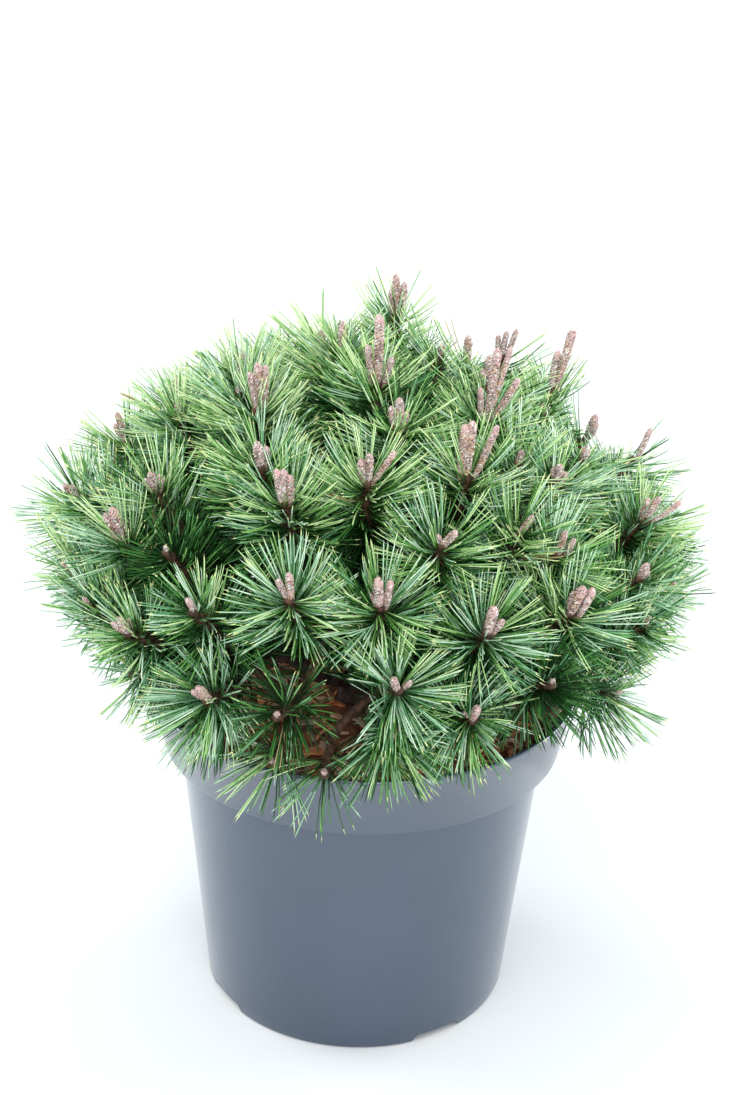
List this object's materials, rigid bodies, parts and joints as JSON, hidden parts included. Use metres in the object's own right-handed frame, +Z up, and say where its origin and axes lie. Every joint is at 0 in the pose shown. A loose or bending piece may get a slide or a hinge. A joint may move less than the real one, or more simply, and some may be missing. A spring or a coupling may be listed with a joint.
{
  "type": "mugo pine in a nursery pot",
  "caption": "Dome-shaped dwarf mountain pine with long paired needles and upright candles, growing in a round tapered nursery container with a flared lip.",
  "frame": {"origin": "middle of the pot's flat underside, on the surface the pot stands on", "axes": "+Z straight up along the pot's axis; -Y is the front of the plant as it was pictured; +X is to the right seen from the front"},
  "size_m": [0.5367, 0.5377, 0.574],
  "materials": {
    "pot_plastic": "satin blue-grey moulded polypropylene with faint scuffs",
    "growing_medium": "moist dark potting mix",
    "bark_mulch": "red-brown shredded bark",
    "bark": "rough dark brown bark with needle scars",
    "needles": "mid green needles with pale tips"
  },
  "bodies": {
    "root": {"pot": "pot_plastic", "growing_medium": "growing_medium", "bark_mulch": "bark_mulch", "trunk": "bark", "bough_high_1": "bark", "bough_high_2": "bark", "bough_high_3": "bark", "bough_high_4": "bark", "bough_high_5": "bark", "bough_low_1": "bark", "bough_low_2": "bark", "bough_low_3": "bark", "bough_low_4": "bark", "bough_low_5": "bark", "bough_low_6": "bark", "bough_low_7": "bark", "bough_low_8": "bark", "bough_mid_1": "bark", "bough_mid_2": "bark", "bough_mid_3": "bark", "bough_mid_4": "bark", "bough_mid_5": "bark", "bough_mid_6": "bark", "bough_mid_7": "bark", "bough_top": "bark", "needles_high_1": "needles", "needles_high_2": "needles", "needles_high_3": "needles", "needles_high_4": "needles", "needles_high_5": "needles", "needles_low_1": "needles", "needles_low_2": "needles", "needles_low_3": "needles", "needles_low_4": "needles", "needles_low_5": "needles", "needles_low_6": "needles", "needles_low_7": "needles", "needles_low_8": "needles", "needles_mid_1": "needles", "needles_mid_2": "needles", "needles_mid_3": "needles", "needles_mid_4": "needles", "needles_mid_5": "needles", "needles_mid_6": "needles", "needles_mid_7": "needles", "needles_top": "needles"}
  },
  "joints": []
}
